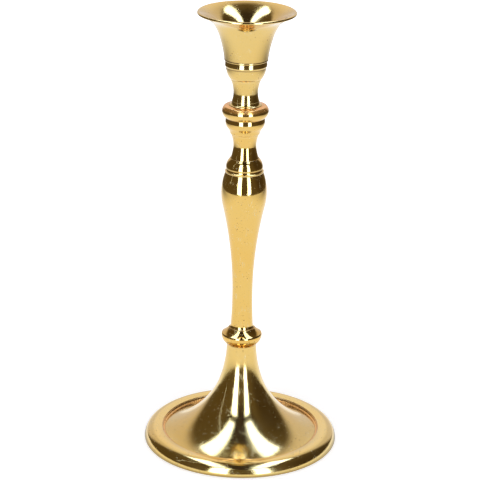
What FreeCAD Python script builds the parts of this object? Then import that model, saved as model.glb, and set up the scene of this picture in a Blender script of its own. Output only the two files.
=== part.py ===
import FreeCAD, Part
import math
import os
import Sketcher

# A brass candlestick of turned sections stacked on one tie rod. Millimetres, +Z up, and the origin is
# the middle of the ring on which it stands. Every turned section is an outline of radius against
# height, revolved about Z. Its corners are named sizes, and its curved stretches are arcs of a named
# radius.

SIZES = {
    # Seams between the stacked sections, as heights above the ground
    "ground_z": 0.0,
    "felt_top_z": 1.0,
    "foot_top_z": 66.0,
    "collar_top_z": 77.0,
    "stem_top_z": 181.9,
    "shoulder_top_z": 188.7,
    "knop_top_z": 222.3,
    "lip_top_z": 280.0,
    # The round spigot below each section, and the recess that it drops into
    "spigot_r": 5.5,
    "spigot_length": 2.0,
    "recess_r": 5.6,
    "recess_depth": 2.4,
    # Tie rod, its clearance hole, and the nut and washers that pull on it
    "rod_r": 3.0,
    "rod_hole_r": 3.3,
    "rod_end_r": 2.4,
    "rod_end_bevel": 0.6,
    "rod_bottom_z": 34.8,
    "rod_top_z": 236.0,
    "crown_z": 46.0,
    "washer_r": 8.0,
    "washer_thickness": 1.6,
    "lock_washer_r": 5.9,
    "lock_washer_thickness": 1.6,
    "lock_washer_slit": 1.2,
    "nut_height": 5.0,
    "nut_corner_r": 5.77,
    "nut_face_r": 4.9,
    "nut_bevel": 0.5,
    # Felt ring
    "felt_inner_r": 48.0,
    "felt_outer_r": 57.5,
    # Foot: flange, dish, hollow cone
    "flange_inner_r": 47.0,
    "flange_heel_r": 60.3,
    "flange_heel_curve": 1.2,
    "foot_r": 61.3,
    "flange_widest_z": 2.1,
    "flange_side_curve": 9.0,
    "flange_crease_r": 59.8,
    "flange_crease_z": 6.6,
    "flange_shoulder_curve": 7.9,
    "flange_crest_r": 54.4,
    "flange_crest_z": 9.3,
    "flange_crown_curve": 20.0,
    "step_edge_r": 49.9,
    "step_edge_z": 8.85,
    "step_line_r": 49.75,
    "step_line_z": 8.5,
    "step_top_r": 49.5,
    "step_top_z": 8.4,
    "step_wall_r": 49.45,
    "step_wall_z": 8.25,
    "step_cove_curve": 1.05,
    "dish_r": 48.35,
    "dish_z": 7.25,
    "dish_curve": 57.0,
    "cone_r": 14.25,
    "cone_z": 40.0,
    "cone_curve": 80.0,
    "foot_neck_r": 9.35,
    "cavity_rim_r": 44.0,
    "cavity_rim_z": 5.0,
    "cavity_dish_curve": 60.0,
    "cavity_cone_r": 16.5,
    "cavity_cone_z": 27.5,
    "cavity_cone_curve": 65.0,
    "cavity_top_r": 9.0,
    # Collar
    "collar_bottom_r": 9.8,
    "collar_land": 0.5,
    "collar_belly_curve": 7.0,
    "collar_r": 12.8,
    "collar_widest_z": 72.3,
    "collar_edge_curve": 1.7,
    "collar_shoulder_r": 12.3,
    "collar_shoulder_z": 73.5,
    "collar_slope_curve": 14.6,
    "collar_mouth_r": 8.2,
    # Baluster stem
    "stem_foot_r": 7.7,
    "stem_foot_land": 0.4,
    "stem_foot_curve": 4.0,
    "stem_ankle_r": 7.05,
    "stem_ankle_z": 79.0,
    "stem_ankle_curve": 300.0,
    "stem_waist_r": 6.4,
    "stem_waist_z": 99.0,
    "stem_rise_curve": 248.0,
    "stem_swell_r": 13.15,
    "stem_swell_z": 158.0,
    "stem_belly_curve": 36.6,
    "stem_brow_r": 11.75,
    "stem_brow_z": 179.7,
    "stem_lip_r": 11.95,
    "stem_lip_bottom_z": 180.0,
    "stem_lip_top_z": 180.6,
    "stem_cove_curve": 1.4,
    "stem_top_r": 11.1,
    # Shoulder ring
    "shoulder_land": 0.5,
    "shoulder_r": 11.45,
    "shoulder_widest_z": 182.8,
    "shoulder_curve": 8.5,
    "shoulder_brow_r": 9.15,
    "shoulder_brow_z": 188.3,
    "shoulder_mouth_r": 8.85,
    # Knop: waisted neck, band and disc
    "knop_foot_r": 8.6,
    "knop_foot_curve": 27.0,
    "knop_waist_r": 7.1,
    "knop_waist_z": 197.0,
    "knop_waist_curve": 20.0,
    "knop_neck_r": 8.5,
    "knop_neck_z": 203.7,
    "knop_cove_curve": 0.9,
    "knop_flare_r": 9.2,
    "knop_flare_z": 204.6,
    "knop_flare_curve": 7.1,
    "band_bottom_r": 11.1,
    "band_bottom_z": 208.4,
    "band_edge_curve": 6.0,
    "band_side_r": 12.15,
    "band_side_z": 211.8,
    "band_top_r": 11.95,
    "band_top_z": 214.5,
    "disc_bottom_r": 12.4,
    "disc_bottom_z": 214.7,
    "disc_side_curve": 5.1,
    "disc_r": 14.27,
    "disc_widest_z": 218.2,
    "disc_edge_curve": 4.8,
    "disc_rim_r": 12.9,
    "disc_rim_z": 221.8,
    "disc_seat_r": 10.2,
    # Candle cup: foot, neck, bowl, band, tulip and lip
    "cup_foot_r": 9.9,
    "cup_foot_land": 0.3,
    "cup_foot_curve": 2.3,
    "cup_ankle_r": 8.35,
    "cup_ankle_z": 225.0,
    "cup_ankle_curve": 13.5,
    "cup_waist_r": 7.55,
    "cup_waist_z": 230.5,
    "cup_neck_curve": 22.0,
    "cup_neck_r": 9.35,
    "cup_neck_z": 238.2,
    "cup_cove_curve": 1.2,
    "bowl_bottom_r": 10.15,
    "bowl_bottom_z": 239.3,
    "bowl_curve": 14.8,
    "bowl_top_r": 12.35,
    "bowl_top_z": 246.0,
    "cup_band_bottom_r": 12.85,
    "cup_band_bottom_z": 247.0,
    "cup_band_top_r": 12.7,
    "cup_band_top_z": 250.0,
    "tulip_bead_curve": 0.6,
    "tulip_bottom_r": 13.25,
    "tulip_bottom_z": 250.95,
    "tulip_low_curve": 71.5,
    "tulip_low_r": 16.05,
    "tulip_low_z": 264.0,
    "tulip_middle_curve": 34.5,
    "tulip_middle_r": 19.7,
    "tulip_middle_z": 272.0,
    "tulip_high_curve": 11.2,
    "tulip_high_r": 23.2,
    "tulip_high_z": 275.5,
    "tulip_lip_curve": 40.0,
    "lip_under_r": 29.2,
    "lip_under_z": 278.5,
    "lip_under_curve": 0.62,
    "lip_r": 29.9,
    "lip_edge_z": 279.1,
    "lip_edge_curve": 0.95,
    "lip_crown_r": 28.95,
    "lip_crown_curve": 1.75,
    "lip_inner_r": 28.3,
    "lip_inner_z": 279.87,
    "mouth_high_curve": 34.5,
    "mouth_middle_r": 20.0,
    "mouth_middle_z": 275.2,
    "mouth_low_curve": 22.7,
    "socket_r": 11.25,
    "socket_top_z": 262.0,
    "socket_floor_z": 247.5,
    "tapping_top_z": 238.0,
    "tapping_point_z": 239.8,
}

AXIS = None            # in place of a radius: the corner lies on the Z axis
ROUND = 1              # the arc to the next corner swells out of the metal
HOLLOW = -1            # the arc to the next corner is cut into the metal

document = FreeCAD.newDocument("candlestick")
sheet = document.addObject("Spreadsheet::Sheet", "Sizes")
for row, (alias, number) in enumerate(SIZES.items(), start=1):
    sheet.set("A%d" % row, alias)
    sheet.set("B%d" % row, str(number))
    sheet.setAlias("B%d" % row, alias)
document.recompute()


def measure(text):
    """The value and the sheet expression of a size, or of a sum such as 'foot_top_z - spigot_length'."""
    value = 0.0
    sign = 1
    words = []
    for word in text.split():
        if word in ("+", "-"):
            sign = 1 if word == "+" else -1
            words.append(word)
        else:
            value += sign * sheet.get(word)
            words.append("Sizes." + word)
    return value, " ".join(words)


def origin_plane(body, role):
    """One of a body's own three base planes."""
    return next(plane for plane in body.Origin.OriginFeatures if plane.Role == role)


def arc_between(start, end, radius, bend):
    """The arc of one radius between two corners. It runs counter-clockwise, so a hollow one runs back."""
    chord = end - start
    half = chord.Length / 2
    to_centre = FreeCAD.Vector(-chord.y, chord.x, 0).normalize() * bend
    centre = (start + end) / 2 + to_centre * math.sqrt(radius * radius - half * half)
    first, last = (start, end) if bend == ROUND else (end, start)
    circle = Part.Circle(centre, FreeCAD.Vector(0, 0, 1), radius)
    angles = [math.atan2(point.y - centre.y, point.x - centre.x) for point in (first, last)]
    return Part.ArcOfCircle(circle, angles[0], angles[1])


def draw_outline(sketch, corners):
    """Draw a closed outline, counter-clockwise, and bind its corners and arcs to the sheet."""
    points = []
    for corner in corners:
        across = 0.0 if corner[0] is AXIS else measure(corner[0])[0]
        points.append(FreeCAD.Vector(across, measure(corner[1])[0], 0))
    ends = []
    for index, corner in enumerate(corners):
        start = points[index]
        end = points[(index + 1) % len(points)]
        if len(corner) == 2:
            sketch.addGeometry(Part.LineSegment(start, end), False)
        else:
            sketch.addGeometry(arc_between(start, end, measure(corner[3])[0], corner[2]), False)
        runs_back = len(corner) == 4 and corner[2] == HOLLOW
        ends.append((2, 1) if runs_back else (1, 2))
    for index, corner in enumerate(corners):
        following = (index + 1) % len(corners)
        sketch.addConstraint(
            Sketcher.Constraint("Coincident", index, ends[index][1], following, ends[following][0])
        )
        place_corner(sketch, index, ends[index][0], corner, points[index])
        if len(corner) == 4:
            radius, expression = measure(corner[3])
            bend = sketch.addConstraint(Sketcher.Constraint("Radius", index, radius))
            bind(sketch, bend, "curve_%d" % index, expression)


def place_corner(sketch, edge, end, corner, point):
    """Fix one corner by its radius and its height."""
    horizontal_axis = -1
    vertical_axis = -2
    if corner[0] is AXIS:
        sketch.addConstraint(Sketcher.Constraint("PointOnObject", edge, end, vertical_axis))
    else:
        across = sketch.addConstraint(Sketcher.Constraint("DistanceX", -1, 1, edge, end, point.x))
        bind(sketch, across, "radius_%d" % edge, measure(corner[0])[1])
    if point.y == 0:
        sketch.addConstraint(Sketcher.Constraint("PointOnObject", edge, end, horizontal_axis))
    else:
        up = sketch.addConstraint(Sketcher.Constraint("DistanceY", -1, 1, edge, end, point.y))
        bind(sketch, up, "height_%d" % edge, measure(corner[1])[1])


def bind(sketch, constraint, name, expression):
    """Name a constraint and tie it to the sheet."""
    sketch.renameConstraint(constraint, name)
    sketch.setExpression("Constraints." + name, expression)


def turned(label, corners):
    """A section turned about Z from its outline."""
    body = document.addObject("PartDesign::Body", label)
    sketch = body.newObject("Sketcher::SketchObject", label + "_outline")
    sketch.AttachmentSupport = [(origin_plane(body, "XZ_Plane"), "")]
    sketch.MapMode = "FlatFace"
    draw_outline(sketch, corners)
    turning = body.newObject("PartDesign::Revolution", label + "_turning")
    turning.Profile = sketch
    turning.ReferenceAxis = (sketch, ["V_Axis"])
    turning.Angle = 360
    sketch.Visibility = False
    return body


def spigot(seat):
    """The start of an outline: the rod's hole and the spigot that drops below the seam."""
    return [
        ("rod_hole_r", seat + " - spigot_length"),
        ("spigot_r", seat + " - spigot_length"),
        ("spigot_r", seat),
    ]


def recess(top):
    """The end of an outline: the recess in a section's top for the next section's spigot."""
    return [
        ("recess_r", top),
        ("recess_r", top + " - recess_depth"),
        ("rod_hole_r", top + " - recess_depth"),
    ]


def make_foot():
    """A dished foot with a rounded flange, a step inside it, and a cone that is hollow below its crown."""
    flange = [
        ("flange_inner_r", "felt_top_z"),
        ("flange_heel_r", "felt_top_z", ROUND, "flange_heel_curve"),
        ("foot_r", "flange_widest_z", ROUND, "flange_side_curve"),
        ("flange_crease_r", "flange_crease_z", ROUND, "flange_shoulder_curve"),
        ("flange_crest_r", "flange_crest_z", ROUND, "flange_crown_curve"),
        ("step_edge_r", "step_edge_z"),
        ("step_line_r", "step_line_z"),
        ("step_top_r", "step_top_z"),
        ("step_wall_r", "step_wall_z", HOLLOW, "step_cove_curve"),
    ]
    cone = [
        ("dish_r", "dish_z", HOLLOW, "dish_curve"),
        ("cone_r", "cone_z", HOLLOW, "cone_curve"),
        ("foot_neck_r", "foot_top_z"),
    ]
    cavity = [
        ("rod_hole_r", "crown_z"),
        ("cavity_top_r", "crown_z", ROUND, "cavity_cone_curve"),
        ("cavity_cone_r", "cavity_cone_z", ROUND, "cavity_dish_curve"),
        ("cavity_rim_r", "cavity_rim_z"),
    ]
    return turned("foot", flange + cone + recess("foot_top_z") + cavity)


def make_collar():
    """A rounded ring between the foot and the stem, sloping up to the stem's foot."""
    side = [
        ("collar_bottom_r", "foot_top_z"),
        ("collar_bottom_r", "foot_top_z + collar_land", ROUND, "collar_belly_curve"),
        ("collar_r", "collar_widest_z", ROUND, "collar_edge_curve"),
        ("collar_shoulder_r", "collar_shoulder_z", HOLLOW, "collar_slope_curve"),
        ("collar_mouth_r", "collar_top_z"),
    ]
    return turned("stem_collar", spigot("foot_top_z") + side + recess("collar_top_z"))


def make_stem():
    """The baluster: narrow above its foot, swelling towards the top, and ending in a lip and a cove."""
    side = [
        ("stem_foot_r", "collar_top_z"),
        ("stem_foot_r", "collar_top_z + stem_foot_land", HOLLOW, "stem_foot_curve"),
        ("stem_ankle_r", "stem_ankle_z", HOLLOW, "stem_ankle_curve"),
        ("stem_waist_r", "stem_waist_z", HOLLOW, "stem_rise_curve"),
        ("stem_swell_r", "stem_swell_z", ROUND, "stem_belly_curve"),
        ("stem_brow_r", "stem_brow_z"),
        ("stem_lip_r", "stem_lip_bottom_z"),
        ("stem_lip_r", "stem_lip_top_z", HOLLOW, "stem_cove_curve"),
        ("stem_top_r", "stem_top_z"),
    ]
    return turned("baluster_stem", spigot("collar_top_z") + side + recess("stem_top_z"))


def make_shoulder_ring():
    """A quarter-round ring on top of the baluster."""
    side = [
        ("stem_top_r", "stem_top_z"),
        ("shoulder_r", "stem_top_z + shoulder_land"),
        ("shoulder_r", "shoulder_widest_z", ROUND, "shoulder_curve"),
        ("shoulder_brow_r", "shoulder_brow_z"),
        ("shoulder_mouth_r", "shoulder_top_z"),
    ]
    return turned("shoulder_ring", spigot("stem_top_z") + side + recess("shoulder_top_z"))


def make_knop():
    """A waisted neck that widens into a band and a rounded disc, whose top rises to the cup's seat."""
    neck = [
        ("knop_foot_r", "shoulder_top_z", HOLLOW, "knop_foot_curve"),
        ("knop_waist_r", "knop_waist_z", HOLLOW, "knop_waist_curve"),
        ("knop_neck_r", "knop_neck_z", HOLLOW, "knop_cove_curve"),
        ("knop_flare_r", "knop_flare_z", HOLLOW, "knop_flare_curve"),
    ]
    disc = [
        ("band_bottom_r", "band_bottom_z", ROUND, "band_edge_curve"),
        ("band_side_r", "band_side_z"),
        ("band_top_r", "band_top_z"),
        ("disc_bottom_r", "disc_bottom_z", ROUND, "disc_side_curve"),
        ("disc_r", "disc_widest_z", ROUND, "disc_edge_curve"),
        ("disc_rim_r", "disc_rim_z"),
        ("disc_seat_r", "knop_top_z"),
    ]
    return turned("knop", spigot("shoulder_top_z") + neck + disc + recess("knop_top_z"))


def make_candle_cup():
    """A tulip cup with a candle socket, and a neck that is tapped from below for the tie rod."""
    foot = [
        ("rod_r", "knop_top_z - spigot_length"),
        ("spigot_r", "knop_top_z - spigot_length"),
        ("spigot_r", "knop_top_z"),
        ("cup_foot_r", "knop_top_z"),
        ("cup_foot_r", "knop_top_z + cup_foot_land", HOLLOW, "cup_foot_curve"),
        ("cup_ankle_r", "cup_ankle_z", HOLLOW, "cup_ankle_curve"),
        ("cup_waist_r", "cup_waist_z", HOLLOW, "cup_neck_curve"),
        ("cup_neck_r", "cup_neck_z", HOLLOW, "cup_cove_curve"),
    ]
    bowl = [
        ("bowl_bottom_r", "bowl_bottom_z", ROUND, "bowl_curve"),
        ("bowl_top_r", "bowl_top_z"),
        ("cup_band_bottom_r", "cup_band_bottom_z"),
        ("cup_band_top_r", "cup_band_top_z", ROUND, "tulip_bead_curve"),
    ]
    tulip = [
        ("tulip_bottom_r", "tulip_bottom_z", HOLLOW, "tulip_low_curve"),
        ("tulip_low_r", "tulip_low_z", HOLLOW, "tulip_middle_curve"),
        ("tulip_middle_r", "tulip_middle_z", HOLLOW, "tulip_high_curve"),
        ("tulip_high_r", "tulip_high_z", HOLLOW, "tulip_lip_curve"),
        ("lip_under_r", "lip_under_z", ROUND, "lip_under_curve"),
        ("lip_r", "lip_edge_z", ROUND, "lip_edge_curve"),
        ("lip_crown_r", "lip_top_z", ROUND, "lip_crown_curve"),
    ]
    inside = [
        ("lip_inner_r", "lip_inner_z", ROUND, "mouth_high_curve"),
        ("mouth_middle_r", "mouth_middle_z", ROUND, "mouth_low_curve"),
        ("socket_r", "socket_top_z"),
        ("socket_r", "socket_floor_z"),
        (AXIS, "socket_floor_z"),
        (AXIS, "tapping_point_z"),
        ("rod_r", "tapping_top_z"),
    ]
    return turned("candle_cup", foot + bowl + tulip + inside)


def make_tie_rod():
    """A threaded rod, drawn at its outside diameter, with bevelled ends."""
    return turned("tie_rod", [
        (AXIS, "rod_bottom_z"),
        ("rod_end_r", "rod_bottom_z"),
        ("rod_r", "rod_bottom_z + rod_end_bevel"),
        ("rod_r", "rod_top_z - rod_end_bevel"),
        ("rod_end_r", "rod_top_z"),
        (AXIS, "rod_top_z"),
    ])


def ring(label, inner, outer, bottom, top):
    """A flat ring of rectangular section."""
    return turned(label, [(inner, bottom), (outer, bottom), (outer, top), (inner, top)])


def set_sizes(feature, sizes):
    """Tie a feature's properties to sheet expressions."""
    for name, text in sizes.items():
        feature.setExpression(name, measure(text)[1])


def make_lock_washer(bottom, top):
    """A spring washer, clamped flat, with its slit."""
    blank = ring("lock_washer_blank", "rod_hole_r", "lock_washer_r", bottom, top)
    slit = document.addObject("Part::Box", "lock_washer_slit")
    set_sizes(slit, {
        "Length": "lock_washer_r",
        "Width": "lock_washer_slit",
        "Height": "lock_washer_thickness",
        "Placement.Base.z": bottom,
    })
    washer = document.addObject("Part::Cut", "lock_washer")
    washer.Base = blank
    washer.Tool = slit
    return washer


def make_clamp_nut(bottom, top):
    """A hexagon nut with bevelled corners."""
    blank = turned("nut_blank", [
        ("rod_r", bottom),
        ("nut_face_r", bottom),
        ("nut_corner_r", bottom + " + nut_bevel"),
        ("nut_corner_r", top + " - nut_bevel"),
        ("nut_face_r", top),
        ("rod_r", top),
    ])
    hexagon = document.addObject("Part::Prism", "nut_hexagon")
    hexagon.Polygon = 6
    set_sizes(hexagon, {
        "Circumradius": "nut_corner_r",
        "Height": "nut_height",
        "Placement.Base.z": bottom,
    })
    nut = document.addObject("Part::Common", "clamp_nut")
    nut.Base = blank
    nut.Tool = hexagon
    return nut


washer_bottom = "crown_z - washer_thickness"
lock_washer_bottom = washer_bottom + " - lock_washer_thickness"
nut_bottom = lock_washer_bottom + " - nut_height"

pieces = [
    make_foot(),
    make_collar(),
    make_stem(),
    make_shoulder_ring(),
    make_knop(),
    make_candle_cup(),
    make_tie_rod(),
    ring("clamp_washer", "rod_hole_r", "washer_r", washer_bottom, "crown_z"),
    make_lock_washer(lock_washer_bottom, washer_bottom),
    make_clamp_nut(nut_bottom, lock_washer_bottom),
    ring("felt_ring", "felt_inner_r", "felt_outer_r", "ground_z", "felt_top_z"),
]
document.recompute()

for item in document.Objects:
    if {"Invalid", "Error"} & set(item.State):
        raise RuntimeError("%s failed: %s" % (item.Label, item.State))
for piece in pieces:
    if piece.Shape.isNull() or not piece.Shape.isValid() or len(piece.Shape.Solids) != 1:
        raise RuntimeError("%s isn't one sound solid" % piece.Label)

os.makedirs("parts", exist_ok=True)
for piece in pieces:
    piece.Shape.exportStep("parts/%s.step" % piece.Label)
    box = piece.Shape.BoundBox
    print("%-15s %9.0f mm3  z %6.1f to %6.1f  r %5.2f" % (
        piece.Label, piece.Shape.Volume, box.ZMin, box.ZMax, box.XMax
    ))
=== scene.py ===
import math

import bpy
import numpy as np
from mathutils import Matrix, Vector


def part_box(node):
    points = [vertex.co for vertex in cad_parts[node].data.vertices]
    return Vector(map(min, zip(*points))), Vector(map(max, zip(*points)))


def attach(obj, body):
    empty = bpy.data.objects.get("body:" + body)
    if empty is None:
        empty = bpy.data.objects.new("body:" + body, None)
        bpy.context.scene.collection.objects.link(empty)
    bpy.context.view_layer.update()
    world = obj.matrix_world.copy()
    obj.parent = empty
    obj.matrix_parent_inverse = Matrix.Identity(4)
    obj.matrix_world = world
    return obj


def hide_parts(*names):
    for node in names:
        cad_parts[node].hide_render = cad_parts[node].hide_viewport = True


# The looks of a turned brass candlestick. Every brass section is turned again from its outline, finely
# enough for mirror reflections, in place of the coarser CAD mesh. Outlines are in millimetres, as radius
# and height above the section's seat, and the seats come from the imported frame. Blender units are metres.

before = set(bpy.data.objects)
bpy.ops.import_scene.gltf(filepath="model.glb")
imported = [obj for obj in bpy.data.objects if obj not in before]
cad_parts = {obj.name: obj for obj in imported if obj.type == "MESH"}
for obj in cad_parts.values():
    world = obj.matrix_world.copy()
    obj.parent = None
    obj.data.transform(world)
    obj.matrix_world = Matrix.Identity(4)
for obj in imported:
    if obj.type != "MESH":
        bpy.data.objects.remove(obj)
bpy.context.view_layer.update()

MM = 0.001
ROUND = 1                      # the arc to the next corner swells out of the metal
HOLLOW = -1                    # the arc to the next corner is cut into the metal
AROUND = 192                   # facets around a turned section
LONGEST_STEP = 0.55            # mm along an arc, between two rings of vertices
WIDEST_TURN = math.radians(5)  # between two rings of vertices
CORNER_ROUNDING = 0.16         # mm from a sharp corner to where its rounding starts
ROUNDING_SHARE = 0.4           # of the step beside a corner: the rounding takes no more
CREASE_WIDTH = 0.35            # mm over which dirt fades out of a re-entrant corner
SHARP_TURN = math.radians(12)  # from which a corner is rounded, and gathers dirt, or on an outer corner gets a painted highlight on brass and worn grey on zinc
SEAM_REACH = 0.02              # mm from the height of a seam to the corners that belong to it
INSETS = (0.4, 1.2)            # mm from the ends of a straight run, where more rings keep its middle flat
INSET_SHARE = 0.45             # of a straight run: a longer inset is left out
UNDIVIDED = 1000.0             # mm, longer than any straight run
ON_AXIS = 1e-6                 # mm: a smaller radius is a point on the axis
FULL_TURN = (0.0, 2 * math.pi)
WHITE = (1.0, 1.0, 1.0, 1.0)

SPIGOT_R = 5.5
SPIGOT_LENGTH = 2.0
RECESS_R = 5.6
RECESS_DEPTH = 2.4
ROD_HOLE_R = 3.3
ROD_R = 3.0


# ---------------------------------------------------------------- outlines

FLANGE = [
    (60.3, 1.0, ROUND, 1.2),
    (61.3, 2.1, ROUND, 9.0),
    (59.8, 6.6, ROUND, 7.9),
    (54.4, 9.3, ROUND, 20.0),
    (49.9, 8.85),
    (49.75, 8.5),
    (49.5, 8.4),
    (49.45, 8.25, HOLLOW, 1.05),
]
DISH_AND_CONE = [
    (48.35, 7.25, HOLLOW, 57.0),
    (14.25, 40.0, HOLLOW, 80.0),
    (9.35, 66.0),
]
FOOT_CAVITY = [
    (ROD_HOLE_R, 46.0),
    (9.0, 46.0, ROUND, 65.0),
    (16.5, 27.5, ROUND, 60.0),
    (44.0, 5.0),
    (47.0, 1.0),
]
COLLAR = [
    (9.8, 0.0),
    (9.8, 0.5, ROUND, 7.0),
    (12.8, 6.3, ROUND, 1.7),
    (12.3, 7.5, HOLLOW, 14.6),
    (8.2, 11.0),
]
STEM = [
    (7.7, 0.0),
    (7.7, 0.4, HOLLOW, 4.0),
    (7.05, 2.0, HOLLOW, 300.0),
    (6.4, 22.0, HOLLOW, 248.0),
    (13.15, 81.0, ROUND, 36.6),
    (11.75, 102.7),
    (11.95, 103.0),
    (11.95, 103.6, HOLLOW, 1.4),
    (11.1, 104.9),
]
SHOULDER = [
    (11.1, 0.0),
    (11.45, 0.5),
    (11.45, 0.9, ROUND, 8.5),
    (9.15, 6.4),
    (8.85, 6.8),
]
KNOP_NECK = [
    (8.6, 0.0, HOLLOW, 27.0),
    (7.1, 8.3, HOLLOW, 20.0),
    (8.5, 15.0, HOLLOW, 0.9),
    (9.2, 15.9, HOLLOW, 7.1),
]
KNOP_DISC = [
    (11.1, 19.7, ROUND, 6.0),
    (12.15, 23.1),
    (11.95, 25.8),
    (12.4, 26.0, ROUND, 5.1),
    (14.27, 29.5, ROUND, 4.8),
    (12.9, 33.1),
    (10.2, 33.6),
]
CUP_NECK = [
    (9.9, 0.0),
    (9.9, 0.3, HOLLOW, 2.3),
    (8.35, 2.7, HOLLOW, 13.5),
    (7.55, 8.2, HOLLOW, 22.0),
    (9.35, 15.9, HOLLOW, 1.2),
]
CUP_BOWL = [
    (10.15, 17.0, ROUND, 14.8),
    (12.35, 23.7),
    (12.85, 24.7),
    (12.7, 27.7, ROUND, 0.6),
]
CUP_TULIP = [
    (13.25, 28.65, HOLLOW, 71.5),
    (16.05, 41.7, HOLLOW, 34.5),
    (19.7, 49.7, HOLLOW, 11.2),
    (23.2, 53.2, HOLLOW, 40.0),
    (29.2, 56.2, ROUND, 0.62),
    (29.9, 56.8, ROUND, 0.95),
    (28.95, 57.7, ROUND, 1.75),
]
CUP_MOUTH = [
    (28.3, 57.57, ROUND, 34.5),
    (20.0, 52.9, ROUND, 22.7),
    (11.25, 39.7),
]
CUP_SOCKET = [
    (11.25, 25.2),
    (0.0, 25.2),
    (0.0, 17.5),
    (ROD_R, 15.7),
    (ROD_R, -SPIGOT_LENGTH),
]


def spigot():
    """The hidden start of a stacked section."""
    return [(ROD_HOLE_R, -SPIGOT_LENGTH), (SPIGOT_R, -SPIGOT_LENGTH), (SPIGOT_R, 0.0)]


def recess(top):
    """The hidden end of a section whose top carries the next one."""
    return [(RECESS_R, top), (RECESS_R, top - RECESS_DEPTH), (ROD_HOLE_R, top - RECESS_DEPTH)]


# ---------------------------------------------------------------- turning

def arc(start, end, radius, bend):
    """The points of an arc between two corners, without its end point."""
    chord = end - start
    half = np.hypot(*chord) / 2
    to_centre = np.array([-chord[1], chord[0]]) / (2 * half) * bend
    centre = (start + end) / 2 + to_centre * math.sqrt(radius * radius - half * half)
    sweep = 2 * math.asin(half / radius)
    steps = max(2, math.ceil(sweep / WIDEST_TURN), math.ceil(sweep * radius / LONGEST_STEP))
    first = math.atan2(start[1] - centre[1], start[0] - centre[0])
    angles = first + bend * sweep * np.arange(steps) / steps
    return centre + radius * np.stack([np.cos(angles), np.sin(angles)], axis=1)


def run(start, end, longest):
    """The points of a straight run between two corners, without its end point.

    It is divided into steps no longer than longest. If that takes one step, it gets insets instead.
    """
    length = np.hypot(*(end - start))
    steps = math.ceil(length / longest)
    shares = [step / steps for step in range(steps)]
    if steps == 1:
        insets = [inset / length for inset in INSETS if inset < INSET_SHARE * length]
        shares += insets + [1 - inset for inset in reversed(insets)]
    return start + (end - start) * np.array(shares)[:, None]


def sample(corners, longest):
    """An outline's points, and which corner each point belongs to or follows."""
    points = []
    owners = []
    for index, corner in enumerate(corners):
        start = np.array(corner[:2])
        end = np.array(corners[(index + 1) % len(corners)][:2])
        stretch = arc(start, end, corner[3], corner[2]) if len(corner) == 4 else run(start, end, longest)
        points.extend(stretch)
        owners.extend([index] * len(stretch))
    return np.array(points), np.array(owners)


def turn_at(points):
    """How far the outline turns at each point, in radians: positive where the metal has an outer corner."""
    before = points - np.roll(points, 1, axis=0)
    after = np.roll(points, -1, axis=0) - points
    cross = before[:, 0] * after[:, 1] - before[:, 1] * after[:, 0]
    return np.arctan2(cross, (before * after).sum(axis=1))


def soften(points, owners):
    """Round each sharp corner off. Gives points, owners, and each point's turn, 0 away from such corners."""
    turns = turn_at(points)
    new_points = []
    new_owners = []
    sharpness = []
    for index, point in enumerate(points):
        if abs(turns[index]) < SHARP_TURN or point[0] < ON_AXIS:
            new_points.append(point)
            new_owners.append(owners[index])
            sharpness.append(0.0)
            continue
        back = points[index - 1] - point
        ahead = points[(index + 1) % len(points)] - point
        start = point + back * min(ROUNDING_SHARE, CORNER_ROUNDING / np.hypot(*back))
        end = point + ahead * min(ROUNDING_SHARE, CORNER_ROUNDING / np.hypot(*ahead))
        for share in (0.0, 0.25, 0.5, 0.75, 1.0):
            bezier = (1 - share) ** 2 * start + 2 * share * (1 - share) * point + share ** 2 * end
            new_points.append(bezier)
            new_owners.append(owners[index] if share >= 0.5 else owners[index - 1])
            sharpness.append(turns[index])
    return np.array(new_points), np.array(new_owners), np.array(sharpness)


def near(lengths, chosen, total):
    """1 at the chosen points of a closed outline, fading out along it."""
    nearness = np.zeros(len(lengths))
    for place in lengths[chosen]:
        gap = np.abs(lengths - place)
        nearness = np.maximum(nearness, np.exp(-np.minimum(gap, total - gap) / CREASE_WIDTH))
    return nearness


def crease_and_edge_along(points, sharpness, seams):
    """For each point of an outline: how far along it is, in mm, and how near to a crease and to an edge."""
    steps = np.hypot(*(np.roll(points, -1, axis=0) - points).T)
    lengths = np.concatenate([[0.0], np.cumsum(steps)[:-1]])
    total = steps.sum()
    at_seam = np.zeros(len(points), bool)
    for height in seams:
        at_seam |= np.abs(points[:, 1] - height) < SEAM_REACH
    crease = near(lengths, (sharpness < 0) | (at_seam & (sharpness != 0)), total)
    edge = near(lengths, (sharpness > 0) & ~at_seam, total)
    return list(zip(lengths, crease, edge))


def faces_between(rows, owners, finish_of, full):
    """The faces between rings of vertices, and the material number of each."""
    columns = len(rows[0])
    faces = []
    finishes = []
    for index, row in enumerate(rows):
        following = rows[(index + 1) % len(rows)]
        for column in range(columns if full else columns - 1):
            beside = (column + 1) % columns
            face = (row[column], row[beside], following[beside], following[column])
            corners_left = list(dict.fromkeys(face))
            if len(corners_left) > 2:
                faces.append(corners_left)
                finishes.append(finish_of(owners[index]))
    if not full:
        faces.append([row[0] for row in rows])
        faces.append([row[-1] for row in reversed(rows)])
        finishes.extend([0, 0])
    return faces, finishes


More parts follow.
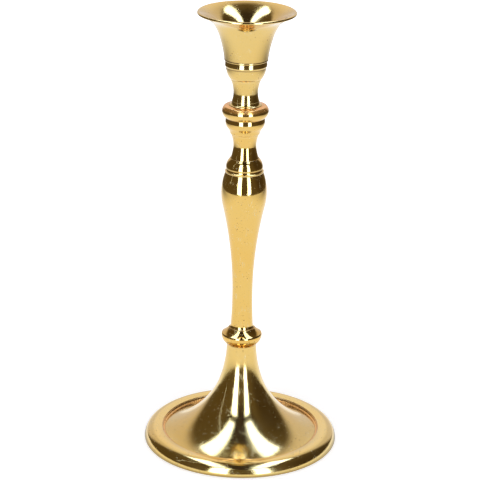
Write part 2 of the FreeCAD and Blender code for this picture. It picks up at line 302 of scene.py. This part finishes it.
def turned(name, corners, materials, finish_of, seat=0.0, shape=None, longest=UNDIVIDED, around=AROUND,
           seams=(), span=FULL_TURN):
    """A solid turned about Z from a closed outline, counter-clockwise, of (radius, height) corners.

    Heights count from seat, in millimetres. finish_of gives the number of a corner's material.
    shape gives a point's radius at each angle, from its radius and height in the outline.
    seams are heights at which the outline meets a neighbour, so that dirt gathers there.
    A span short of a full turn leaves two flat ends.
    """
    points, owners = sample(corners, longest)
    points, owners, sharpness = soften(points, owners)
    full = span == FULL_TURN
    angles = np.linspace(span[0], span[1], around + (0 if full else 1), endpoint=not full)
    columns = len(angles)
    vertices = []
    rows = []
    values = []
    for (radius, height), value in zip(points, crease_and_edge_along(points, sharpness, seams)):
        if radius < ON_AXIS:
            rows.append([len(vertices)] * columns)
            vertices.append((0.0, 0.0, (seat + height) * MM))
            values.append(value)
            continue
        reach = np.full(columns, radius) if shape is None else shape(radius, height, angles)
        rows.append(list(range(len(vertices), len(vertices) + columns)))
        for angle, out in zip(angles, reach):
            vertices.append((out * MM * math.cos(angle), out * MM * math.sin(angle), (seat + height) * MM))
            values.append(value)
    faces, finishes = faces_between(rows, owners, finish_of, full)

    mesh = bpy.data.meshes.new(name)
    mesh.from_pydata(vertices, [], faces)
    for material in materials:
        mesh.materials.append(material)
    mesh.polygons.foreach_set("material_index", finishes)
    for number, label in enumerate(("along_mm", "crease", "edge")):
        attribute = mesh.attributes.new(label, "FLOAT", "POINT")
        attribute.data.foreach_set("value", [value[number] for value in values])
    mesh.shade_smooth()
    mesh.validate()
    piece = bpy.data.objects.new(name, mesh)
    bpy.context.scene.collection.objects.link(piece)
    return piece


def stand_for(piece, node):
    """The piece is shown in place of a CAD node."""
    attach(piece, "root")
    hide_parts(node)


# ---------------------------------------------------------------- material helpers

class Graph:
    """A short way to write a node tree: each call adds nodes and gives one output."""

    def __init__(self, tree):
        self.tree = tree
        tree.nodes.clear()

    def add(self, kind, inputs=None, output=0, **settings):
        node = self.tree.nodes.new(kind)
        for name, value in settings.items():
            setattr(node, name, value)
        for name, value in (inputs or {}).items():
            if isinstance(value, bpy.types.NodeSocket):
                self.tree.links.new(value, node.inputs[name])
            else:
                node.inputs[name].default_value = value
        return node.outputs[output] if len(node.outputs) else node

    def math(self, operation, first, second=0.0):
        return self.add("ShaderNodeMath", {0: first, 1: second}, operation=operation)

    def noise(self, vector, scale, detail=2.0, roughness=0.5):
        return self.add("ShaderNodeTexNoise", {
            "Vector": vector, "Scale": scale, "Detail": detail, "Roughness": roughness,
        })

    def window(self, value, low, high, to_low=0.0, to_high=1.0):
        """Maps low..high smoothly to to_low..to_high, and holds it outside."""
        return self.add("ShaderNodeMapRange", {
            "Value": value, "From Min": low, "From Max": high, "To Min": to_low, "To Max": to_high,
        }, interpolation_type="SMOOTHSTEP")

    def mix(self, share, first, second):
        """A mix of two colours."""
        node = self.tree.nodes.new("ShaderNodeMix")
        node.data_type = "RGBA"
        for socket, value in ((node.inputs[0], share), (node.inputs[6], first), (node.inputs[7], second)):
            if isinstance(value, bpy.types.NodeSocket):
                self.tree.links.new(value, socket)
            else:
                socket.default_value = value
        return node.outputs[2]

    def attribute(self, name):
        return self.add("ShaderNodeAttribute", output=2, attribute_name=name)

    def place(self):
        """The place on the object, in metres."""
        return self.add("ShaderNodeTexCoord", output=3)

    def distance(self, place):
        """How far a place is from the origin."""
        return self.add("ShaderNodeVectorMath", {0: place}, output=1, operation="LENGTH")

    def stretched(self, vector, scale, rotation):
        """A place scaled along each axis, and then turned by angles in degrees."""
        return self.add("ShaderNodeMapping", {
            "Vector": vector, "Scale": scale, "Rotation": [math.radians(turn) for turn in rotation],
        })

    def finish(self, sockets, relief, depth):
        """Ends a material with a shader of these socket values, and relief that is depth metres high."""
        bump = self.add("ShaderNodeBump", {"Height": relief, "Strength": 1.0, "Distance": depth})
        shader = self.add("ShaderNodeBsdfPrincipled", {**sockets, "Normal": bump})
        self.add("ShaderNodeOutputMaterial", {"Surface": shader})


def new_material(name):
    material = bpy.data.materials.new(name)
    material.use_nodes = True
    return material, Graph(material.node_tree)


# ---------------------------------------------------------------- brass

WARM_TINT = (1.0, 0.96, 0.86)
COOL_TINT = (1.0, 1.03, 1.1)
DARK_PATINA = (0.16, 0.07, 0.02, 1.0)
# painted highlight: a lighter colour on the outer corners of polished brass
PAINTED_EDGE_HIGHLIGHT = (0.9, 0.68, 0.3, 1.0)
PIT_COLOUR = (0.27, 0.12, 0.02, 1.0)
BARE_METAL = (0.84, 0.68, 0.38, 1.0)
# painted reflection: the orange of brass mirrored in brass, laid on as colour
PAINTED_REFLECTION_ORANGE = (0.92, 0.41, 0.07, 1.0)
TURNED_LIGHT = (0.6, 0.36, 0.11, 1.0)
TURNED_DARK = (0.3, 0.165, 0.05, 1.0)
HAIRLINE_SCALE = (520.0, 520.0, 26.0)   # waves per metre: hairlines are 20 times as long as wide
KNOP_PAINTED_REFLECTION = (3.4, 1.6)                 # mm below the knop's top, from no painted reflection tint to full tint
STEP_PAINTED_REFLECTION = (47.7, 48.6, 49.9, 50.2)   # mm from the axis where the painted reflection tint starts, is full, is still full, has ended


def scratches(graph, place, rotation, share):
    """Short upright hairlines: 1 on a line, 0 elsewhere.

    Another rotation gives other hairlines, and a larger share has them in more places.
    """
    across = graph.noise(graph.stretched(place, HAIRLINE_SCALE, rotation), 1.0, detail=1.0)
    lines = graph.window(graph.math("ABSOLUTE", graph.math("SUBTRACT", across, 0.5)), 0.03, 0.006)
    where = graph.noise(graph.stretched(place, (1.0, 1.0, 1.0), rotation), 150.0, detail=1.0)
    rarity = 0.72 - 0.16 * share
    return graph.math("MULTIPLY", lines, graph.window(where, rarity, rarity + 0.08))


def specks(graph, place, per_metre, radius, share):
    """Small round marks: 1 inside a mark. radius counts in cells. share is the part of the cells with one."""
    cells = graph.tree.nodes.new("ShaderNodeTexVoronoi")
    graph.tree.links.new(place, cells.inputs["Vector"])
    cells.inputs["Scale"].default_value = per_metre
    cells.inputs["Randomness"].default_value = 1.0
    chance = graph.add("ShaderNodeSeparateColor", {0: cells.outputs["Color"]})
    chosen = graph.math("LESS_THAN", chance, share)
    return graph.math("MULTIPLY", graph.window(cells.outputs["Distance"], radius, radius * 0.5), chosen)


def polished_brass(name, colour, satin, wear, mask_of_painted_reflection=None):
    """Lacquered brass. satin is how strong its turning lines are, and wear how scratched and pitted it is.

    The last argument gives, from the graph and the place, where an orange tint paints the reflection of brass
    in brass, and the surface there is rougher, a little less metallic and free of dirt.
    """
    material, graph = new_material(name)
    place = graph.place()
    along = graph.attribute("along_mm")
    crease = graph.attribute("crease")
    edge = graph.attribute("edge")

    haze = graph.window(graph.noise(place, 95.0, detail=4.0, roughness=0.6), 0.42, 0.72)
    tone = graph.noise(place, 22.0, detail=2.0)
    worn_here = graph.window(graph.noise(place, 75.0, detail=2.0), 0.38, 0.6, 0.1, 1.0)
    large_pits = graph.math("MULTIPLY", specks(graph, place, 430.0, 0.2, 0.6 * wear), 0.85)
    small_pits = graph.math("MULTIPLY", specks(graph, place, 900.0, 0.3, 0.45 * wear), 0.4)
    pits = graph.math("MULTIPLY", graph.math("MAXIMUM", large_pits, small_pits), worn_here)
    dust = graph.math("MULTIPLY", specks(graph, place, 780.0, 0.17, 0.35 * wear), worn_here)
    hairlines = graph.math("MAXIMUM", scratches(graph, place, (24.0, 18.0, 0.0), wear),
                           scratches(graph, place, (-38.0, 62.0, 30.0), 0.8 * wear))
    lines = graph.add("ShaderNodeTexNoise", {"W": along, "Scale": 2.6, "Detail": 4.0, "Roughness": 0.75},
                      noise_dimensions="1D")
    # painted reflection: where an orange tint stands in for brass mirrored in nearby brass
    painted_reflection = mask_of_painted_reflection(graph, place) if mask_of_painted_reflection else 0.0
    dirt = graph.math("MULTIPLY", graph.math("POWER", crease, 2.2), graph.window(tone, 0.25, 0.6, 0.5, 1.0))
    dirt = graph.math("MULTIPLY", dirt, graph.math("SUBTRACT", 1.0, painted_reflection))

    warm = [channel * tint for channel, tint in zip(colour, WARM_TINT)] + [1.0]
    cool = [channel * tint for channel, tint in zip(colour, COOL_TINT)] + [1.0]
    skin = graph.mix(graph.window(tone, 0.35, 0.65), warm, cool)
    # painted reflection: the orange tint is mixed into the colour here
    skin = graph.mix(painted_reflection, skin, PAINTED_REFLECTION_ORANGE)
    skin = graph.mix(graph.math("MULTIPLY", dirt, 0.7), skin, DARK_PATINA)
    # painted highlight: outer corners are made lighter, as if catching the light
    skin = graph.mix(graph.math("MULTIPLY", edge, 0.3), skin, PAINTED_EDGE_HIGHLIGHT)
    skin = graph.mix(pits, skin, PIT_COLOUR)
    bare = graph.math("MAXIMUM", dust, graph.math("MULTIPLY", hairlines, 0.35))
    skin = graph.mix(bare, skin, BARE_METAL)
    metallic = graph.window(bare, 0.0, 1.0, 1.0, 0.3)
    metallic = graph.math("SUBTRACT", metallic, graph.math("MULTIPLY", painted_reflection, 0.15))

    roughness = graph.window(haze, 0.0, 1.0, 0.05 + 0.12 * satin, 0.085 + 0.18 * satin)
    roughness = graph.math("ADD", roughness, graph.math("MULTIPLY", bare, 0.4))
    roughness = graph.math("ADD", roughness, graph.math("MULTIPLY", dirt, 0.15))
    roughness = graph.math("ADD", roughness, graph.math("MULTIPLY", painted_reflection, 0.2))
    relief = graph.math("MULTIPLY", lines, 0.3 + 2.4 * satin)
    relief = graph.math("SUBTRACT", relief, graph.math("MULTIPLY", graph.math("MAXIMUM", bare, pits), 2.0))
    relief = graph.math("ADD", relief, graph.math("MULTIPLY", graph.noise(place, 210.0), 1.2))

    graph.finish({
        "Base Color": skin, "Metallic": metallic, "Roughness": roughness,
        "Coat Weight": 0.6, "Coat Roughness": 0.05, "Coat IOR": 1.45,
    }, relief, 9e-6)
    return material


def turned_brass():
    """Brass as the lathe tool left it, on the faces that are hidden or only looked into."""
    material, graph = new_material("turned_brass")
    place = graph.place()
    along = graph.attribute("along_mm")
    tone = graph.noise(place, 60.0, detail=5.0, roughness=0.65)
    rings = graph.add("ShaderNodeTexWave", {
        "Vector": graph.add("ShaderNodeCombineXYZ", {0: along}),
        "Scale": 0.55,
        "Distortion": 0.6,
        "Detail": 1.0,
    }, output=1, bands_direction="X")
    skin = graph.mix(graph.window(tone, 0.35, 0.7), TURNED_LIGHT, TURNED_DARK)
    roughness = graph.window(tone, 0.3, 0.7, 0.28, 0.46)
    relief = graph.math("ADD", rings, graph.math("MULTIPLY", tone, 0.6))
    graph.finish({"Base Color": skin, "Metallic": 1.0, "Roughness": roughness}, relief, 2.5e-5)
    return material


# ---------------------------------------------------------------- brass sections

def knop_top_painted_reflection(graph, place):
    """The upper side of the knop's disc, where an orange tint paints the reflection of the brass neck and cup
    above it.
    """
    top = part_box("knop")[1].z
    none, full = KNOP_PAINTED_REFLECTION
    height = graph.add("ShaderNodeSeparateXYZ", {0: place}, output=2)
    return graph.window(height, top - none * MM, top - full * MM)


def step_ring_painted_reflection(graph, place):
    """The step between the flange and the dish, where an orange tint paints the reflection of the cone."""
    level = graph.add("ShaderNodeVectorMath", {0: place, 1: (1.0, 1.0, 0.0)}, operation="MULTIPLY")
    radius = graph.distance(level)
    starts, full, still_full, ended = [reach * MM for reach in STEP_PAINTED_REFLECTION]
    ring = graph.math("MULTIPLY", graph.window(radius, starts, full), graph.window(radius, ended, still_full))
    return graph.math("MULTIPLY", ring, 0.7)


CUP_BRASS = polished_brass("cup_brass", (0.79, 0.55, 0.175), satin=0.4, wear=0.5)
KNOP_BRASS = polished_brass("knop_brass", (0.82, 0.53, 0.14), satin=0.05, wear=0.6, mask_of_painted_reflection=knop_top_painted_reflection)
STEM_BRASS = polished_brass("stem_brass", (0.82, 0.53, 0.135), satin=0.05, wear=1.0)
FOOT_BRASS = polished_brass("foot_brass", (0.82, 0.59, 0.205), satin=0.4, wear=0.75, mask_of_painted_reflection=step_ring_painted_reflection)
HIDDEN_BRASS = turned_brass()


def brass_section(node, visible, hidden, seat, seams, finish):
    """One section: its polished side, and the hidden rest of its outline, which is only turned.

    The last corner of the visible part already belongs to the stretch into the hidden part.
    """
    last_polished = len(visible) - 2
    piece = turned(
        "polished_" + node, visible + hidden, [finish, HIDDEN_BRASS],
        lambda corner: 0 if corner <= last_polished else 1, seat=seat, seams=seams,
    )
    stand_for(piece, node)


def height_of(node):
    """A stacked section's seat, and its height above that."""
    low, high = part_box(node)
    seat = low.z / MM + SPIGOT_LENGTH
    return seat, high.z / MM - seat


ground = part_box("felt_ring")[0].z / MM
foot_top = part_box("foot")[1].z / MM - ground
brass_section("foot", FLANGE + DISH_AND_CONE, recess(foot_top) + FOOT_CAVITY, ground, [foot_top], FOOT_BRASS)
for node, side, finish in (
    ("stem_collar", COLLAR, STEM_BRASS), ("baluster_stem", STEM, STEM_BRASS),
    ("shoulder_ring", SHOULDER, STEM_BRASS), ("knop", KNOP_NECK + KNOP_DISC, KNOP_BRASS),
):
    seat, top = height_of(node)
    brass_section(node, side, recess(top) + spigot(), seat, [0.0, top], finish)
seat, top = height_of("candle_cup")
brass_section("candle_cup", CUP_NECK + CUP_BOWL + CUP_TULIP + CUP_MOUTH, CUP_SOCKET + spigot()[1:],
              seat, [0.0], CUP_BRASS)


# ---------------------------------------------------------------- rod, nut, washers and felt

THREAD_PITCH = 1.0
THREAD_ROOT_R = 2.46
THREAD_PEAK = 1.15             # where the flanks would meet if the crest, at 1, weren't flat
THREAD_RUN_OUT = 0.6           # mm over which the thread grows at either end
THREAD_SKIN_R = THREAD_ROOT_R + 0.02
ROD_END_R = 2.4
ROD_CHAMFER = 0.06
NUT_FACE_R = 4.9
NUT_BEVEL = 0.5
NUT_COUNTERSINK = 0.25
SLIT_TURN = 0.27               # radians of the lock washer's slit
FELT_INNER_R = 48.0
FELT_RAGGED = 0.35             # mm by which the felt's cut edge wanders

YELLOW_ZINC = (0.62, 0.6, 0.5, 1.0)
BLUE_ZINC = (0.5, 0.53, 0.57, 1.0)
WORN_ZINC = (0.34, 0.33, 0.31, 1.0)
DARK_FELT = (0.012, 0.05, 0.028, 1.0)
LIGHT_FELT = (0.025, 0.095, 0.052, 1.0)
FELT_FIBRE = (0.06, 0.17, 0.1, 1.0)
FELT_NAP = (0.45, 0.7, 0.55, 1.0)


def zinc_plated_steel():
    """Bright zinc with a faint yellow and blue bloom, a fine grain and grey edges."""
    material, graph = new_material("zinc_plated_steel")
    place = graph.place()
    bloom = graph.noise(place, 180.0, detail=3.0)
    grain = graph.noise(place, 1600.0, detail=3.0, roughness=0.7)
    edge = graph.attribute("edge")
    skin = graph.mix(graph.window(bloom, 0.35, 0.65), YELLOW_ZINC, BLUE_ZINC)
    skin = graph.mix(graph.math("MULTIPLY", edge, 0.5), skin, WORN_ZINC)
    roughness = graph.window(grain, 0.3, 0.7, 0.24, 0.42)
    graph.finish({"Base Color": skin, "Metallic": 1.0, "Roughness": roughness}, grain, 1.5e-5)
    return material


def green_felt():
    """Pressed wool felt: mottled, with fibres that run two ways and a soft nap."""
    material, graph = new_material("green_felt")
    place = graph.place()
    mottle = graph.noise(place, 260.0, detail=4.0, roughness=0.65)
    one_way = graph.noise(graph.stretched(place, (2600.0, 420.0, 900.0), (0.0, 0.0, 32.0)), 1.0, detail=2.0)
    other_way = graph.noise(graph.stretched(place, (420.0, 2600.0, 900.0), (0.0, 0.0, 75.0)), 1.0, detail=2.0)
    fibres = graph.math("MAXIMUM", one_way, other_way)
    skin = graph.mix(graph.window(mottle, 0.3, 0.7), DARK_FELT, LIGHT_FELT)
    skin = graph.mix(graph.window(fibres, 0.6, 0.78, 0.0, 0.6), skin, FELT_FIBRE)
    relief = graph.math("ADD", fibres, graph.math("MULTIPLY", mottle, 0.8))
    graph.finish({
        "Base Color": skin, "Roughness": 0.95, "Specular IOR Level": 0.2,
        "Sheen Weight": 0.5, "Sheen Roughness": 0.5, "Sheen Tint": FELT_NAP,
    }, relief, 2.5e-4)
    return material


def tie_rod(material):
    """The rod with its helical thread, whose flanks reach from the root to the rod's full radius."""
    low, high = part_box("tie_rod")
    bottom = low.z / MM
    length = (high.z - low.z) / MM

    def thread(radius, height, angles):
        if radius < THREAD_ROOT_R:
            return np.full(len(angles), radius)
        phase = (height / THREAD_PITCH - angles / (2 * math.pi)) % 1.0
        ridge = np.minimum(1.0, THREAD_PEAK * (1 - 2 * np.abs(phase - 0.5)))
        room = min(1.0, height / THREAD_RUN_OUT, (length - height) / THREAD_RUN_OUT)
        return THREAD_ROOT_R + (ROD_R - THREAD_ROOT_R) * ridge * room

    corners = [(0.0, 0.0), (ROD_END_R, 0.0), (THREAD_SKIN_R, ROD_CHAMFER),
               (THREAD_SKIN_R, length - ROD_CHAMFER), (ROD_END_R, length), (0.0, length)]
    piece = turned("threaded_tie_rod", corners, [material], lambda corner: 0, seat=bottom, shape=thread,
                   longest=THREAD_PITCH / 6, around=28)
    stand_for(piece, "tie_rod")


def clamp_nut(material):
    """A hexagon nut whose corners are cut to a cone at both faces."""
    low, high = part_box("clamp_nut")
    height = (high.z - low.z) / MM
    corner_r = high.x / MM
    flat_r = corner_r * math.cos(math.pi / 6)

    def hexagon(radius, level, angles):
        beside = np.abs((angles + math.pi / 6) % (math.pi / 3) - math.pi / 6)
        return np.minimum(radius, flat_r / np.cos(math.pi / 6 - beside))

    corners = [
        (ROD_R + NUT_COUNTERSINK, 0.0),
        (NUT_FACE_R, 0.0),
        (corner_r, NUT_BEVEL),
        (corner_r, height - NUT_BEVEL),
        (NUT_FACE_R, height),
        (ROD_R + NUT_COUNTERSINK, height),
        (ROD_R, height - NUT_COUNTERSINK),
        (ROD_R, NUT_COUNTERSINK),
    ]
    piece = turned("hexagon_clamp_nut", corners, [material], lambda corner: 0, seat=low.z / MM, shape=hexagon,
                   longest=0.5, around=144)
    stand_for(piece, "clamp_nut")


def ring_outline(inner, outer, thickness):
    """The outline of a flat ring."""
    return [(inner, 0.0), (outer, 0.0), (outer, thickness), (inner, thickness)]


def washer(node, name, material, span=FULL_TURN):
    """A flat washer with lightly broken edges. A slit lies on +X, so its outer radius is read along Y."""
    low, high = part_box(node)
    corners = ring_outline(ROD_HOLE_R, high.y / MM, (high.z - low.z) / MM)
    piece = turned(name, corners, [material], lambda corner: 0, seat=low.z / MM, longest=0.5, around=96,
                   span=span)
    stand_for(piece, node)


def felt_ring(material):
    """The felt under the flange, cut by hand: both of its edges wander a little."""
    low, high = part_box("felt_ring")
    outer = high.x / MM
    middle = (FELT_INNER_R + outer) / 2

    def ragged(radius, level, angles):
        waves = ((1.0, 7, 0.0), (0.7, 19, 1.0), (0.5, 53, level))
        widest = sum(height for height, number, start in waves)
        sway = sum(height * np.sin(number * angles + start) for height, number, start in waves)
        inward = FELT_RAGGED * (widest - sway) / (2 * widest)
        return radius - inward if radius > middle else radius + inward

    corners = ring_outline(FELT_INNER_R, outer, (high.z - low.z) / MM)
    piece = turned("felt_foot_ring", corners, [material], lambda corner: 0, seat=low.z / MM, shape=ragged,
                   longest=0.6, around=288)
    stand_for(piece, "felt_ring")


STEEL = zinc_plated_steel()
tie_rod(STEEL)
clamp_nut(STEEL)
washer("lock_washer", "split_lock_washer", STEEL, (SLIT_TURN, 2 * math.pi))
washer("clamp_washer", "plain_clamp_washer", STEEL)
felt_ring(green_felt())


# ---------------------------------------------------------------- stage, lights and camera

# Lengths here are in metres and angles in degrees. The camera is on the side of -Y.

FLOOR_FRONT = -0.78
FLOOR_BACK = 3.0
FLOOR_SIDE = 3.0
FLOOR_COLOUR = (0.8, 0.8, 0.8, 1.0)
SHADOW_REACH = (0.06, 0.17)    # from the axis, between which the faint shadow around the foot fades
TABLE_R = 0.78
TABLE_SIDES = 96
PANEL_COLOUR = (0.61, 0.77, 1.2)
PANEL_Y = -0.77
PANEL_Z = 0.51
ROOM_COLOUR = (0.118, 0.092, 0.05, 1.0)
ROOM_PATCHES = (
    # azimuth, elevation, how far from there it is full, how far from there it ends, colour
    (-95, 22, 10, 40, (0.105, 0.078, 0.036, 1.0)),
    (98, 18, 15, 46, (0.066, 0.048, 0.026, 1.0)),
    (180, 22, 34, 47, (0.74, 0.68, 0.64, 1.0)),
    (180, 38, 10, 26, (0.98, 0.92, 0.86, 1.0)),
    (0, 68, 14, 40, (0.04, 0.03, 0.02, 1.0)),
)
LENS_MM = 145.0
CAMERA_PLACE = (-0.002, -1.1303, 0.5418)
CAMERA_DOWN = 19.795
CAMERA_ROLL = 0.94


def flat_card(name, outline, material):
    """A level polygon on the ground."""
    mesh = bpy.data.meshes.new(name)
    mesh.from_pydata([(x, y, ground * MM) for x, y in outline], [], [range(len(outline))])
    mesh.materials.append(material)
    card = bpy.data.objects.new(name, mesh)
    bpy.context.scene.collection.objects.link(card)
    return card


def floor():
    """The plain white floor, with room for a faint shadow close to the object. It is clear from below."""
    material, graph = new_material("white_floor")
    diffuse = graph.add("ShaderNodeBsdfDiffuse", {"Color": FLOOR_COLOUR})
    strength = graph.window(graph.distance(graph.place()), *SHADOW_REACH, 0.78, 1.13)
    glow = graph.add("ShaderNodeEmission", {"Color": WHITE, "Strength": strength})
    above = graph.add("ShaderNodeAddShader", {0: diffuse, 1: glow})
    from_below = graph.add("ShaderNodeNewGeometry", output=6)
    clear = graph.add("ShaderNodeBsdfTransparent")
    graph.add("ShaderNodeOutputMaterial", {
        "Surface": graph.add("ShaderNodeMixShader", {0: from_below, 1: above, 2: clear}),
    })
    corners = [
        (-FLOOR_SIDE, FLOOR_FRONT),
        (FLOOR_SIDE, FLOOR_FRONT),
        (FLOOR_SIDE, FLOOR_BACK),
        (-FLOOR_SIDE, FLOOR_BACK),
    ]
    card = flat_card("floor", corners, material)
    card.visible_glossy = False


def mirrored_table():
    """The round white table that only reflections see.

    It is half as bright right beside the foot, a painted contact shadow, and dims to both sides, the more so
    behind the object.
    """
    material, graph = new_material("mirrored_table")
    place = graph.place()
    aside = graph.window(graph.math("ABSOLUTE", graph.add("ShaderNodeSeparateXYZ", {0: place})), 0.2, 0.6)
    behind = graph.window(graph.add("ShaderNodeSeparateXYZ", {0: place}, output=1), -0.3, 0.45, 0.18, 0.72)
    # painted contact shadow: the glow halves close beside the foot
    painted_contact_shadow = graph.window(graph.distance(place), 0.061, 0.085, 0.5, 1.0)
    strength = graph.math("SUBTRACT", 1.03, graph.math("MULTIPLY", aside, behind))
    strength = graph.math("MULTIPLY", strength, painted_contact_shadow)
    glow = graph.add("ShaderNodeEmission", {"Color": WHITE, "Strength": strength})
    graph.add("ShaderNodeOutputMaterial", {"Surface": glow})
    turns = [2 * math.pi * number / TABLE_SIDES for number in range(TABLE_SIDES)]
    rim = [(TABLE_R * math.cos(turn), TABLE_R * math.sin(turn)) for turn in turns]
    card = flat_card("mirrored_table", rim, material)
    card.visible_camera = False
    card.visible_diffuse = False


def panel(name, centre, width, height, target, radiance):
    """A soft rectangular panel of even brightness that faces the target and that the camera can't see."""
    lamp = bpy.data.lights.new(name, "AREA")
    lamp.shape = "RECTANGLE"
    lamp.size = width
    lamp.size_y = height
    lamp.energy = radiance * math.pi * width * height
    lamp.color = PANEL_COLOUR
    holder = bpy.data.objects.new(name, lamp)
    facing = (Vector(centre) - Vector(target)).normalized()
    holder.matrix_world = Matrix.Translation(centre) @ facing.to_track_quat("Z", "Y").to_matrix().to_4x4()
    holder.visible_camera = False
    bpy.context.scene.collection.objects.link(holder)


def toward(azimuth, elevation):
    """A direction from the object: azimuth 0 is the camera's side and 90 is the right."""
    across = math.cos(math.radians(elevation))
    return Vector((
        across * math.sin(math.radians(azimuth)),
        -across * math.cos(math.radians(azimuth)),
        math.sin(math.radians(elevation)),
    ))


def patch(graph, direction, azimuth, elevation, inner, outer):
    """1 within inner degrees of a direction, fading to 0 at outer degrees."""
    closeness = graph.add("ShaderNodeVectorMath", {0: direction, 1: toward(azimuth, elevation)}, output=1,
                          operation="DOT_PRODUCT")
    return graph.window(closeness, math.cos(math.radians(outer)), math.cos(math.radians(inner)))


def studio_world():
    """A dim room with a pale backdrop behind the object. The camera itself sees plain white."""
    world = bpy.data.worlds.new("studio")
    bpy.context.scene.world = world
    world.use_nodes = True
    graph = Graph(world.node_tree)
    direction = graph.add("ShaderNodeTexCoord", output=0)
    room = ROOM_COLOUR
    for azimuth, elevation, inner, outer, colour in ROOM_PATCHES:
        room = graph.mix(patch(graph, direction, azimuth, elevation, inner, outer), room, colour)
    mirrored = graph.add("ShaderNodeBackground", {"Color": room, "Strength": 1.0})
    plain = graph.add("ShaderNodeBackground", {"Color": WHITE, "Strength": 1.0})
    is_camera = graph.add("ShaderNodeLightPath", output=0)
    graph.add("ShaderNodeOutputWorld", {
        "Surface": graph.add("ShaderNodeMixShader", {0: is_camera, 1: mirrored, 2: plain}),
    })


def camera():
    """The long lens of a product picture, looking down at the candlestick."""
    lens = bpy.data.cameras.new("camera")
    lens.lens = LENS_MM
    holder = bpy.data.objects.new("camera", lens)
    pitch = Matrix.Rotation(math.radians(90 - CAMERA_DOWN), 4, "X")
    roll = Matrix.Rotation(math.radians(CAMERA_ROLL), 4, "Z")
    holder.matrix_world = Matrix.Translation(CAMERA_PLACE) @ pitch @ roll
    bpy.context.scene.collection.objects.link(holder)
    bpy.context.scene.camera = holder


floor()
mirrored_table()
studio_world()
for name, x, width in (("left_panel", -0.345, 0.33), ("right_panel", 0.39, 0.28)):
    panel(name, (x, PANEL_Y, PANEL_Z), width, 1.02, (x, 0.0, PANEL_Z), 6.2)
for side in (-1, 1):
    panel("roof_strip", (side * 0.445, -0.05, 1.3), 0.33, 1.3, (side * 0.445, -0.05, 0.0), 4.5)
panel("light_pole", (-0.77, -0.22, 0.75), 0.014, 1.35, (0.0, 0.0, 0.1), 2.5)
camera()
bpy.context.scene.view_settings.view_transform = "Standard"
